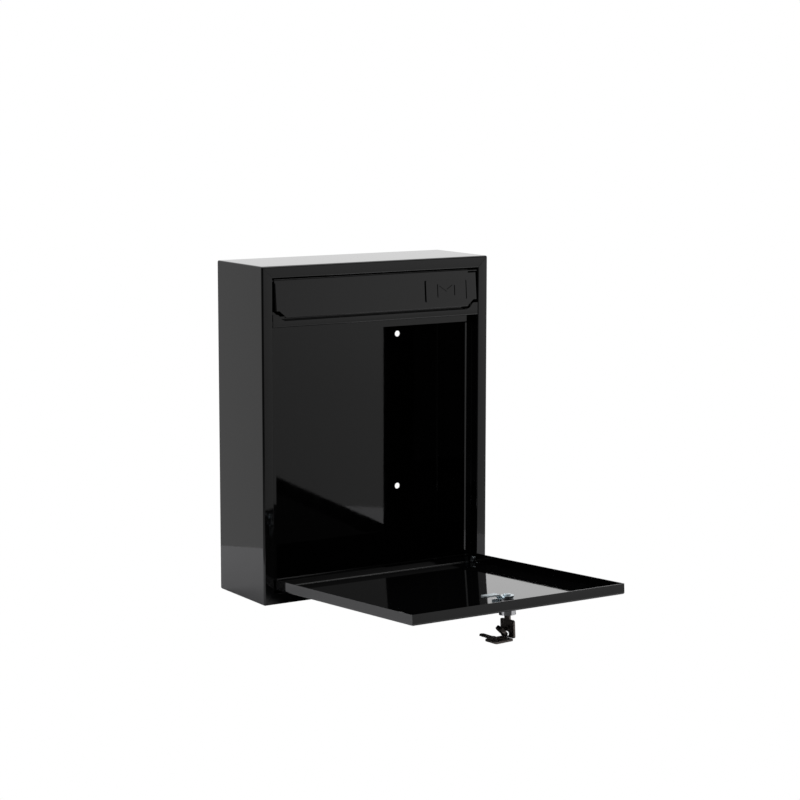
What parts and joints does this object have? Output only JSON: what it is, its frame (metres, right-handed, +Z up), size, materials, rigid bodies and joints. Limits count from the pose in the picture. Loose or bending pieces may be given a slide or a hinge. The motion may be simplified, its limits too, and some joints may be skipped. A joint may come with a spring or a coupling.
{
  "type": "wall mounted mailbox",
  "caption": "Wall mounted sheet steel mailbox with an upper letter flap and a drop-down door held shut by a keyed cam lock.",
  "frame": {"origin": "middle of the back panel's outer face, where the box meets the wall; also the centre of its four screw holes", "axes": "+X to the right seen from the front, +Y into the wall, +Z up"},
  "size_m": [0.315, 0.4089, 0.4],
  "materials": {
    "gloss_black_paint": "high gloss black powder coat with faint orange peel",
    "zinc_plate": "bright blue passivated zinc plate",
    "chrome_plate": "polished chrome plate",
    "lock_brass": "turned brass",
    "key_nickel": "tumbled nickel plate"
  },
  "bodies": {
    "body": {"body_wrapper": "gloss_black_paint", "back_panel": "gloss_black_paint", "cross_rail": "gloss_black_paint", "door_pin_left": "zinc_plate", "door_pin_right": "zinc_plate", "door_pin_ring_left": "zinc_plate", "door_pin_ring_right": "zinc_plate", "flap_rod": "gloss_black_paint", "flap_rod_ring_left": "zinc_plate", "flap_rod_ring_right": "zinc_plate"},
    "flap": {"letter_flap": "gloss_black_paint", "flap_badge": "gloss_black_paint"},
    "door": {"door_pan": "gloss_black_paint", "lock_barrel": "chrome_plate", "lock_clip": "zinc_plate"},
    "lock_core": {"lock_plug": "lock_brass", "lock_wafer_1": "lock_brass", "lock_wafer_2": "lock_brass", "lock_wafer_3": "lock_brass", "lock_wafer_4": "lock_brass", "lock_cam": "zinc_plate", "cam_washer": "zinc_plate", "cam_screw": "zinc_plate"},
    "key": {"key_1": "key_nickel"},
    "spare": {"key_ring": "key_nickel", "key_2": "key_nickel"}
  },
  "joints": [
    {"name": "door_hinge", "type": "hinge", "parent": "body", "child": "door", "pos_m": [0, -0.104, -0.1778], "axis": [1, 0, 0], "range_deg": [-86.3, 0]},
    {"name": "flap_hinge", "type": "hinge", "parent": "body", "child": "flap", "pos_m": [0, -0.1056, 0.1827], "axis": [-1, 0, 0], "range_deg": [0, 78]},
    {"name": "lock_turn", "type": "hinge", "parent": "door", "child": "lock_core", "pos_m": [0, -0.38114, -0.16489], "axis": [0, 0.0645, 0.9979], "range_deg": [0, 90]},
    {"name": "key_pull", "type": "slide", "parent": "lock_core", "child": "key", "axis": [0, -0.0645, -0.9979], "range_m": [0, 0.02]},
    {"name": "ring_swing", "type": "hinge", "parent": "key", "child": "spare", "pos_m": [0, -0.3801, -0.19522], "axis": [1, 0, 0], "range_deg": [-6, 6]}
  ]
}
